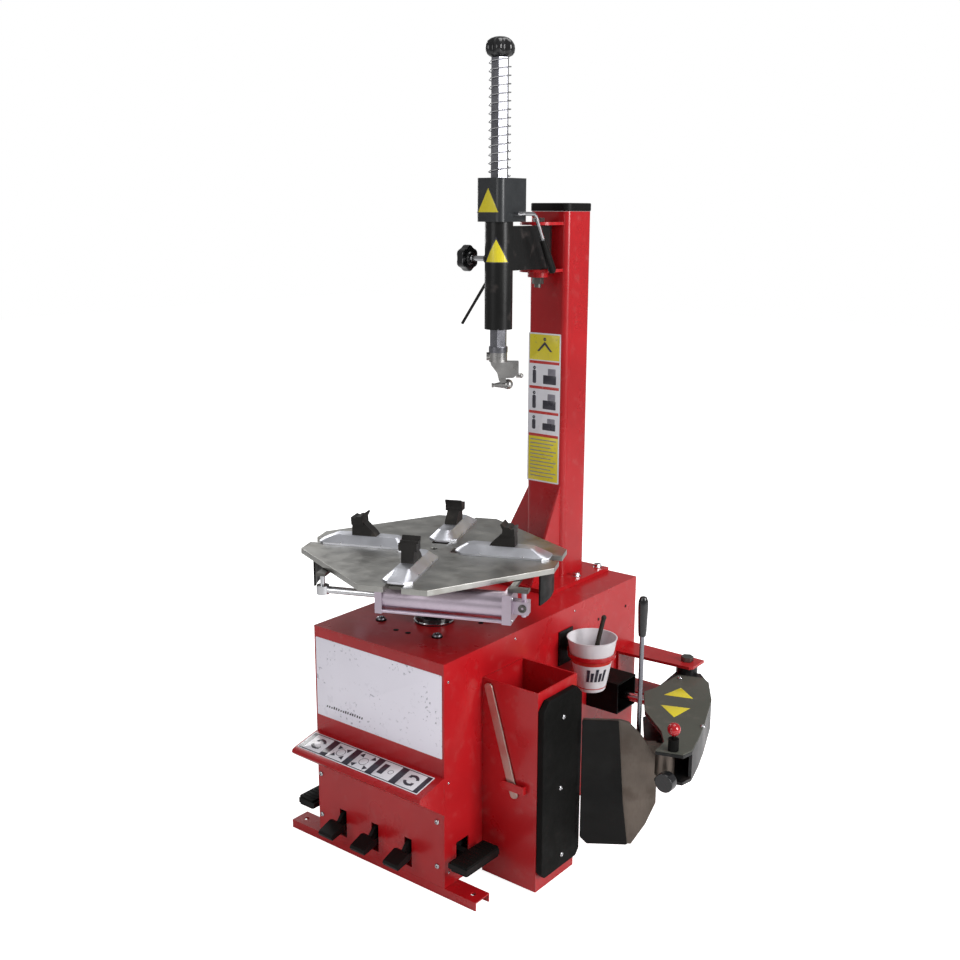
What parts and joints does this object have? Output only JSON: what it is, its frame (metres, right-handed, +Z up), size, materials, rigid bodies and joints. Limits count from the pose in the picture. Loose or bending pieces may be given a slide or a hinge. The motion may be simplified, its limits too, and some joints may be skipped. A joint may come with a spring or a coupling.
{
  "type": "tire changer machine",
  "caption": "Swing-arm tyre changer: cabinet, clamping turntable, post with sprung hexagonal tool shaft and mounting head, side bead breaker and foot pedals.",
  "frame": {"origin": "centre of the bounding box at floor level", "axes": "+Z up along the post, -Y towards the operator, +X towards the bead breaker"},
  "size_m": [1.0326, 0.988, 2.066],
  "materials": {
    "red_paint": "glossy red powder coat, lightly worn at edges",
    "black_paint": "gloss black paint",
    "dark_steel": "oiled grey steel with machining marks",
    "chrome": "bright chrome",
    "aluminium": "drawn aluminium tube",
    "cast_iron": "cast, painted grey",
    "rubber": "matt black rubber",
    "black_plastic": "moulded black plastic",
    "white_plastic": "thin white moulded plastic",
    "red_plastic": "gloss red plastic ball",
    "olive_paint": "satin grey-olive cover",
    "motor_paint": "grey enamel",
    "bristle": "dark bristles on a plastic handle"
  },
  "bodies": {
    "body": {"base_frame": "red_paint", "front_panel": "red_paint", "left_panel": "red_paint", "cabinet_shell": "red_paint", "tyre_support": "red_paint", "tyre_pad": "rubber", "post": "red_paint", "post_cap": "red_paint", "arm_pin": "dark_steel", "gearbox": "cast_iron", "belt_guard": "black_paint", "motor": "motor_paint", "pedal_shaft": "dark_steel", "breaker_bracket": "black_paint", "breaker_pin": "dark_steel", "rod_guard": "black_paint", "bucket_holder": "black_paint"},
    "table": {"turntable": "dark_steel", "table_hub": "dark_steel", "guard_left": "black_plastic", "guard_right": "black_plastic"},
    "jaw_right": {"slide_right": "dark_steel", "clamp_tube_near": "aluminium", "clamp_rod_far": "chrome"},
    "jaw_back": {"slide_back": "dark_steel"},
    "jaw_left": {"slide_left": "dark_steel", "clamp_tube_far": "aluminium", "clamp_rod_near": "chrome"},
    "jaw_front": {"slide_front": "dark_steel"},
    "star": {"star_plate": "dark_steel"},
    "link_right": {"link_right": "dark_steel"},
    "link_back": {"link_back": "dark_steel"},
    "link_left": {"link_left": "dark_steel"},
    "link_front": {"link_front": "dark_steel"},
    "arm": {"swing_arm": "black_paint", "lock_cover": "black_paint"},
    "tool_shaft": {"hex_shaft": "chrome", "top_knob": "black_plastic", "mount_head": "chrome", "shaft_spring": "dark_steel"},
    "lock_lever": {"lock_lever": "chrome"},
    "side_knob": {"side_knob": "black_plastic"},
    "pedal_left": {"pedal_left": "black_plastic"},
    "pedal_1": {"pedal_front_1": "black_plastic"},
    "pedal_2": {"pedal_front_2": "black_plastic"},
    "pedal_3": {"pedal_front_3": "black_plastic"},
    "pedal_right": {"pedal_right": "black_plastic"},
    "breaker": {"breaker_arm": "black_paint", "breaker_cover": "olive_paint", "control_boot": "rubber"},
    "blade": {"breaker_blade": "black_paint", "blade_shoe": "black_plastic", "breaker_handle": "chrome"},
    "control_ball": {"control_ball": "red_plastic"},
    "adjust_knob": {"adjust_knob": "black_plastic"},
    "ram_tube": {"ram_tube": "aluminium"},
    "ram_rod": {"ram_rod": "chrome"},
    "bucket": {"bucket": "white_plastic"},
    "brush": {"brush": "bristle"},
    "tyre_lever": {"tyre_lever": "chrome"}
  },
  "joints": [
    {"name": "table_spin", "type": "hinge", "parent": "body", "child": "table", "pos_m": [-0.1517, -0.15797, 0.794], "axis": [0, 0, 1], "continuous": true},
    {"name": "jaw_right_slide", "type": "slide", "parent": "table", "child": "jaw_right", "axis": [0.9171, 0.3987, 0], "range_m": [-0.015, 0.024]},
    {"name": "jaw_back_slide", "type": "slide", "parent": "table", "child": "jaw_back", "axis": [-0.3987, 0.9171, 0], "range_m": [-0.015, 0.024]},
    {"name": "jaw_left_slide", "type": "slide", "parent": "table", "child": "jaw_left", "axis": [-0.9171, -0.3987, 0], "range_m": [-0.015, 0.024]},
    {"name": "jaw_front_slide", "type": "slide", "parent": "table", "child": "jaw_front", "axis": [0.3987, -0.9171, 0], "range_m": [-0.015, 0.024]},
    {"name": "star_turn", "type": "hinge", "parent": "table", "child": "star", "pos_m": [-0.1517, -0.15797, 0.757], "axis": [0, 0, 1], "range_deg": [-25, 16]},
    {"name": "link_right_turn", "type": "hinge", "parent": "star", "child": "link_right", "pos_m": [-0.16617, -0.09768, 0.758], "axis": [0, 0, 1], "range_deg": [-16, 25]},
    {"name": "link_back_turn", "type": "hinge", "parent": "star", "child": "link_back", "pos_m": [-0.21199, -0.17244, 0.758], "axis": [0, 0, 1], "range_deg": [-16, 25]},
    {"name": "link_left_turn", "type": "hinge", "parent": "star", "child": "link_left", "pos_m": [-0.13723, -0.21826, 0.758], "axis": [0, 0, 1], "range_deg": [-16, 25]},
    {"name": "link_front_turn", "type": "hinge", "parent": "star", "child": "link_front", "pos_m": [-0.09141, -0.1435, 0.758], "axis": [0, 0, 1], "range_deg": [-16, 25]},
    {"name": "arm_swing", "type": "hinge", "parent": "body", "child": "arm", "pos_m": [-0.1467, 0.27703, 1.549], "axis": [0, 0, 1], "range_deg": [-75, 12]},
    {"name": "shaft_slide", "type": "slide", "parent": "arm", "child": "tool_shaft", "axis": [0, 0, 1], "range_m": [-0.22, 0], "stiffness_N_per_m": 400, "springref_m": 0.36, "deforming": ["shaft_spring"]},
    {"name": "lock_lever_turn", "type": "hinge", "parent": "arm", "child": "lock_lever", "pos_m": [-0.0917, 0.11203, 1.636], "axis": [1, 0, 0], "range_deg": [0, 22]},
    {"name": "side_knob_turn", "type": "hinge", "parent": "arm", "child": "side_knob", "pos_m": [-0.2257, 0.10153, 1.522], "axis": [1, 0, 0], "range_deg": [-180, 180]},
    {"name": "pedal_left_press", "type": "hinge", "parent": "body", "child": "pedal_left", "pos_m": [-0.3437, -0.21797, 0.12], "axis": [1, 0, 0], "range_deg": [0, 9], "stiffness_Nm_per_rad": 6, "springref_deg": -20.05},
    {"name": "pedal_1_press", "type": "hinge", "parent": "body", "child": "pedal_1", "pos_m": [-0.2797, -0.21797, 0.12], "axis": [1, 0, 0], "range_deg": [0, 9], "stiffness_Nm_per_rad": 6, "springref_deg": -20.05},
    {"name": "pedal_2_press", "type": "hinge", "parent": "body", "child": "pedal_2", "pos_m": [-0.1667, -0.21797, 0.12], "axis": [1, 0, 0], "range_deg": [0, 9], "stiffness_Nm_per_rad": 6, "springref_deg": -20.05},
    {"name": "pedal_3_press", "type": "hinge", "parent": "body", "child": "pedal_3", "pos_m": [-0.0537, -0.21797, 0.12], "axis": [1, 0, 0], "range_deg": [0, 9], "stiffness_Nm_per_rad": 6, "springref_deg": -20.05},
    {"name": "pedal_right_press", "type": "hinge", "parent": "body", "child": "pedal_right", "pos_m": [0.0403, -0.21797, 0.12], "axis": [1, 0, 0], "range_deg": [0, 9], "stiffness_Nm_per_rad": 6, "springref_deg": -20.05},
    {"name": "breaker_swing", "type": "hinge", "parent": "body", "child": "breaker", "pos_m": [0.2623, 0.45403, 0.34], "axis": [0, 0, 1], "range_deg": [0, 35]},
    {"name": "blade_tilt", "type": "hinge", "parent": "breaker", "child": "blade", "pos_m": [0.4543, -0.00797, 0.34], "axis": [0, 0, 1], "range_deg": [-6, 6]},
    {"name": "control_push", "type": "slide", "parent": "breaker", "child": "control_ball", "axis": [0, 0, 1], "range_m": [-0.004, 0.004], "stiffness_N_per_m": 800},
    {"name": "adjust_turn", "type": "hinge", "parent": "breaker", "child": "adjust_knob", "pos_m": [0.4883, -0.05397, 0.318], "axis": [0, 1, 0], "range_deg": [-180, 180]},
    {"name": "ram_swivel", "type": "hinge", "parent": "body", "child": "ram_tube", "pos_m": [-0.3337, 0.28203, 0.337], "axis": [0, 0, 1], "range_deg": [-0.5, 3.5]},
    {"name": "ram_stroke", "type": "slide", "parent": "ram_tube", "child": "ram_rod", "axis": [1, 0, 0], "range_m": [-0.006, 0.1]},
    {"name": "bucket_lift", "type": "slide", "parent": "body", "child": "bucket", "axis": [0, 0, 1], "range_m": [0, 0.158]},
    {"name": "brush_lift", "type": "slide", "parent": "bucket", "child": "brush", "axis": [0, 0, 1], "range_m": [0, 0.2]},
    {"name": "lever_lift", "type": "slide", "parent": "body", "child": "tyre_lever", "axis": [0, 0, 1], "range_m": [0, 0.175]}
  ],
  "couplings": [
    {"joint": "jaw_back_slide", "follows": "jaw_right_slide", "ratio": 1},
    {"joint": "jaw_left_slide", "follows": "jaw_right_slide", "ratio": 1},
    {"joint": "jaw_front_slide", "follows": "jaw_right_slide", "ratio": 1},
    {"joint": "star_turn", "follows": "jaw_right_slide", "rad_per_m": -17.4},
    {"joint": "link_right_turn", "follows": "jaw_right_slide", "rad_per_m": 16.96},
    {"joint": "link_back_turn", "follows": "jaw_right_slide", "rad_per_m": 16.96},
    {"joint": "link_left_turn", "follows": "jaw_right_slide", "rad_per_m": 16.96},
    {"joint": "link_front_turn", "follows": "jaw_right_slide", "rad_per_m": 16.96},
    {"joint": "ram_swivel", "follows": "breaker_swing", "ratio": 0.0857},
    {"joint": "ram_stroke", "follows": "breaker_swing", "m_per_rad": 0.16}
  ]
}
